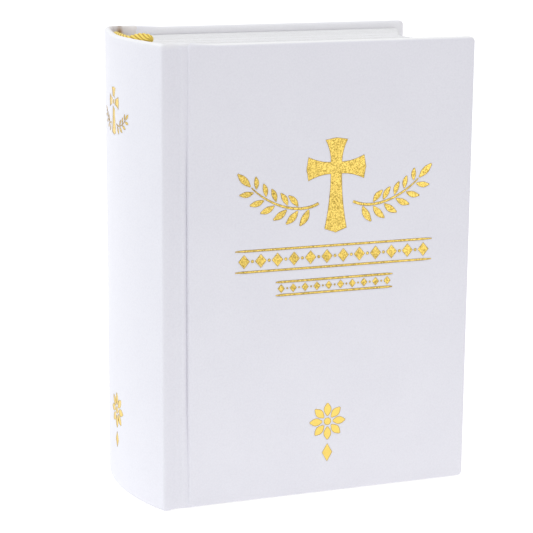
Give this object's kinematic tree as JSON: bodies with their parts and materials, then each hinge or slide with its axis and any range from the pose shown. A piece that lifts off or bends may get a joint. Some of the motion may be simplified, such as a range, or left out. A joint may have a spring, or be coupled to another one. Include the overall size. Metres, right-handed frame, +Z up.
{
  "type": "bible",
  "caption": "Small, thick hard-cover bible with a rounded spine, grooved joints, striped end bands and covers that swing open while the leaves fan after them.",
  "frame": {"origin": "under the middle of the closed book, on the surface that its tail edges stand on", "axes": "+X from the spine to the fore-edge, +Y from the front cover to the back cover, +Z up from tail to head"},
  "size_m": [0.0944, 0.05, 0.1255],
  "materials": {
    "leatherette": "satin",
    "greyboard": "matte",
    "end_paper": "matte",
    "text_paper": "matte",
    "gauze": "matte",
    "band_cloth": "satin",
    "gold_foil": "polished"
  },
  "bodies": {
    "spine": {"spine_covering": "leatherette", "spine_stiffener": "greyboard", "spine_lining": "text_paper", "mull": "gauze", "headband": "band_cloth", "tailband": "band_cloth", "section_14": "text_paper", "section_15": "text_paper"},
    "front_cover": {"front_covering": "leatherette", "front_board": "greyboard", "front_pastedown": "end_paper"},
    "back_cover": {"back_covering": "leatherette", "back_board": "greyboard", "back_pastedown": "end_paper"},
    "front_leaf": {"front_flyleaf": "end_paper"},
    "back_leaf": {"back_flyleaf": "end_paper"},
    "leaves_01": {"section_01": "text_paper"},
    "leaves_28": {"section_28": "text_paper"},
    "leaves_02": {"section_02": "text_paper"},
    "leaves_27": {"section_27": "text_paper"},
    "leaves_03": {"section_03": "text_paper"},
    "leaves_26": {"section_26": "text_paper"},
    "leaves_04": {"section_04": "text_paper"},
    "leaves_25": {"section_25": "text_paper"},
    "leaves_05": {"section_05": "text_paper"},
    "leaves_24": {"section_24": "text_paper"},
    "leaves_06": {"section_06": "text_paper"},
    "leaves_23": {"section_23": "text_paper"},
    "leaves_07": {"section_07": "text_paper"},
    "leaves_22": {"section_22": "text_paper"},
    "leaves_08": {"section_08": "text_paper"},
    "leaves_21": {"section_21": "text_paper"},
    "leaves_09": {"section_09": "text_paper"},
    "leaves_20": {"section_20": "text_paper"},
    "leaves_10": {"section_10": "text_paper"},
    "leaves_19": {"section_19": "text_paper"},
    "leaves_11": {"section_11": "text_paper"},
    "leaves_18": {"section_18": "text_paper"},
    "leaves_12": {"section_12": "text_paper"},
    "leaves_17": {"section_17": "text_paper"},
    "leaves_13": {"section_13": "text_paper"},
    "leaves_16": {"section_16": "text_paper"}
  },
  "joints": [
    {"name": "front_cover_hinge", "type": "hinge", "parent": "spine", "child": "front_cover", "pos_m": [-0.04095, -0.0252, 0], "axis": [0, 0, -1], "range_deg": [0, 180]},
    {"name": "back_cover_hinge", "type": "hinge", "parent": "spine", "child": "back_cover", "pos_m": [-0.04095, 0.0252, 0], "axis": [0, 0, 1], "range_deg": [0, 180]},
    {"name": "front_flyleaf_fold", "type": "hinge", "parent": "spine", "child": "front_leaf", "pos_m": [-0.03999, -0.0216, 0], "axis": [0, 0, -1], "range_deg": [0, 72]},
    {"name": "back_flyleaf_fold", "type": "hinge", "parent": "spine", "child": "back_leaf", "pos_m": [-0.03999, 0.0216, 0], "axis": [0, 0, 1], "range_deg": [0, 72]},
    {"name": "section_01_fold", "type": "hinge", "parent": "spine", "child": "leaves_01", "pos_m": [-0.03999, -0.02064, 0], "axis": [0, 0, -1], "range_deg": [0, 54]},
    {"name": "section_28_fold", "type": "hinge", "parent": "spine", "child": "leaves_28", "pos_m": [-0.03999, 0.02064, 0], "axis": [0, 0, 1], "range_deg": [0, 54]},
    {"name": "section_02_fold", "type": "hinge", "parent": "spine", "child": "leaves_02", "pos_m": [-0.04059, -0.01911, 0], "axis": [0, 0, -1], "range_deg": [0, 47.2]},
    {"name": "section_27_fold", "type": "hinge", "parent": "spine", "child": "leaves_27", "pos_m": [-0.04059, 0.01911, 0], "axis": [0, 0, 1], "range_deg": [0, 47.2]},
    {"name": "section_03_fold", "type": "hinge", "parent": "spine", "child": "leaves_03", "pos_m": [-0.04114, -0.01758, 0], "axis": [0, 0, -1], "range_deg": [0, 40.7]},
    {"name": "section_26_fold", "type": "hinge", "parent": "spine", "child": "leaves_26", "pos_m": [-0.04114, 0.01758, 0], "axis": [0, 0, 1], "range_deg": [0, 40.7]},
    {"name": "section_04_fold", "type": "hinge", "parent": "spine", "child": "leaves_04", "pos_m": [-0.04163, -0.01605, 0], "axis": [0, 0, -1], "range_deg": [0, 34.6]},
    {"name": "section_25_fold", "type": "hinge", "parent": "spine", "child": "leaves_25", "pos_m": [-0.04163, 0.01605, 0], "axis": [0, 0, 1], "range_deg": [0, 34.6]},
    {"name": "section_05_fold", "type": "hinge", "parent": "spine", "child": "leaves_05", "pos_m": [-0.04208, -0.01452, 0], "axis": [0, 0, -1], "range_deg": [0, 29]},
    {"name": "section_24_fold", "type": "hinge", "parent": "spine", "child": "leaves_24", "pos_m": [-0.04208, 0.01452, 0], "axis": [0, 0, 1], "range_deg": [0, 29]},
    {"name": "section_06_fold", "type": "hinge", "parent": "spine", "child": "leaves_06", "pos_m": [-0.04248, -0.01299, 0], "axis": [0, 0, -1], "range_deg": [0, 23.8]},
    {"name": "section_23_fold", "type": "hinge", "parent": "spine", "child": "leaves_23", "pos_m": [-0.04248, 0.01299, 0], "axis": [0, 0, 1], "range_deg": [0, 23.8]},
    {"name": "section_07_fold", "type": "hinge", "parent": "spine", "child": "leaves_07", "pos_m": [-0.04283, -0.01146, 0], "axis": [0, 0, -1], "range_deg": [0, 18.9]},
    {"name": "section_22_fold", "type": "hinge", "parent": "spine", "child": "leaves_22", "pos_m": [-0.04283, 0.01146, 0], "axis": [0, 0, 1], "range_deg": [0, 18.9]},
    {"name": "section_08_fold", "type": "hinge", "parent": "spine", "child": "leaves_08", "pos_m": [-0.04314, -0.00994, 0], "axis": [0, 0, -1], "range_deg": [0, 14.6]},
    {"name": "section_21_fold", "type": "hinge", "parent": "spine", "child": "leaves_21", "pos_m": [-0.04314, 0.00994, 0], "axis": [0, 0, 1], "range_deg": [0, 14.6]},
    {"name": "section_09_fold", "type": "hinge", "parent": "spine", "child": "leaves_09", "pos_m": [-0.0434, -0.00841, 0], "axis": [0, 0, -1], "range_deg": [0, 10.7]},
    {"name": "section_20_fold", "type": "hinge", "parent": "spine", "child": "leaves_20", "pos_m": [-0.0434, 0.00841, 0], "axis": [0, 0, 1], "range_deg": [0, 10.7]},
    {"name": "section_10_fold", "type": "hinge", "parent": "spine", "child": "leaves_10", "pos_m": [-0.04361, -0.00688, 0], "axis": [0, 0, -1], "range_deg": [0, 7.4]},
    {"name": "section_19_fold", "type": "hinge", "parent": "spine", "child": "leaves_19", "pos_m": [-0.04361, 0.00688, 0], "axis": [0, 0, 1], "range_deg": [0, 7.4]},
    {"name": "section_11_fold", "type": "hinge", "parent": "spine", "child": "leaves_11", "pos_m": [-0.04379, -0.00535, 0], "axis": [0, 0, -1], "range_deg": [0, 4.5]},
    {"name": "section_18_fold", "type": "hinge", "parent": "spine", "child": "leaves_18", "pos_m": [-0.04379, 0.00535, 0], "axis": [0, 0, 1], "range_deg": [0, 4.5]},
    {"name": "section_12_fold", "type": "hinge", "parent": "spine", "child": "leaves_12", "pos_m": [-0.04392, -0.00382, 0], "axis": [0, 0, -1], "range_deg": [0, 2.2]},
    {"name": "section_17_fold", "type": "hinge", "parent": "spine", "child": "leaves_17", "pos_m": [-0.04392, 0.00382, 0], "axis": [0, 0, 1], "range_deg": [0, 2.2]},
    {"name": "section_13_fold", "type": "hinge", "parent": "spine", "child": "leaves_13", "pos_m": [-0.044, -0.00229, 0], "axis": [0, 0, -1], "range_deg": [0, 0.8]},
    {"name": "section_16_fold", "type": "hinge", "parent": "spine", "child": "leaves_16", "pos_m": [-0.044, 0.00229, 0], "axis": [0, 0, 1], "range_deg": [0, 0.8]}
  ],
  "couplings": [
    {"joint": "front_flyleaf_fold", "follows": "front_cover_hinge", "ratio": 0.4},
    {"joint": "back_flyleaf_fold", "follows": "back_cover_hinge", "ratio": 0.4},
    {"joint": "section_01_fold", "follows": "front_cover_hinge", "ratio": 0.3},
    {"joint": "section_28_fold", "follows": "back_cover_hinge", "ratio": 0.3},
    {"joint": "section_02_fold", "follows": "front_cover_hinge", "ratio": 0.26167},
    {"joint": "section_27_fold", "follows": "back_cover_hinge", "ratio": 0.26167},
    {"joint": "section_03_fold", "follows": "front_cover_hinge", "ratio": 0.22556},
    {"joint": "section_26_fold", "follows": "back_cover_hinge", "ratio": 0.22556},
    {"joint": "section_04_fold", "follows": "front_cover_hinge", "ratio": 0.19222},
    {"joint": "section_25_fold", "follows": "back_cover_hinge", "ratio": 0.19222},
    {"joint": "section_05_fold", "follows": "front_cover_hinge", "ratio": 0.16056},
    {"joint": "section_24_fold", "follows": "back_cover_hinge", "ratio": 0.16056},
    {"joint": "section_06_fold", "follows": "front_cover_hinge", "ratio": 0.13167},
    {"joint": "section_23_fold", "follows": "back_cover_hinge", "ratio": 0.13167},
    {"joint": "section_07_fold", "follows": "front_cover_hinge", "ratio": 0.105},
    {"joint": "section_22_fold", "follows": "back_cover_hinge", "ratio": 0.105},
    {"joint": "section_08_fold", "follows": "front_cover_hinge", "ratio": 0.08056},
    {"joint": "section_21_fold", "follows": "back_cover_hinge", "ratio": 0.08056},
    {"joint": "section_09_fold", "follows": "front_cover_hinge", "ratio": 0.05889},
    {"joint": "section_20_fold", "follows": "back_cover_hinge", "ratio": 0.05889},
    {"joint": "section_10_fold", "follows": "front_cover_hinge", "ratio": 0.04056},
    {"joint": "section_19_fold", "follows": "back_cover_hinge", "ratio": 0.04056},
    {"joint": "section_11_fold", "follows": "front_cover_hinge", "ratio": 0.025},
    {"joint": "section_18_fold", "follows": "back_cover_hinge", "ratio": 0.025},
    {"joint": "section_12_fold", "follows": "front_cover_hinge", "ratio": 0.01222},
    {"joint": "section_17_fold", "follows": "back_cover_hinge", "ratio": 0.01222},
    {"joint": "section_13_fold", "follows": "front_cover_hinge", "ratio": 0.00389},
    {"joint": "section_16_fold", "follows": "back_cover_hinge", "ratio": 0.00389}
  ]
}
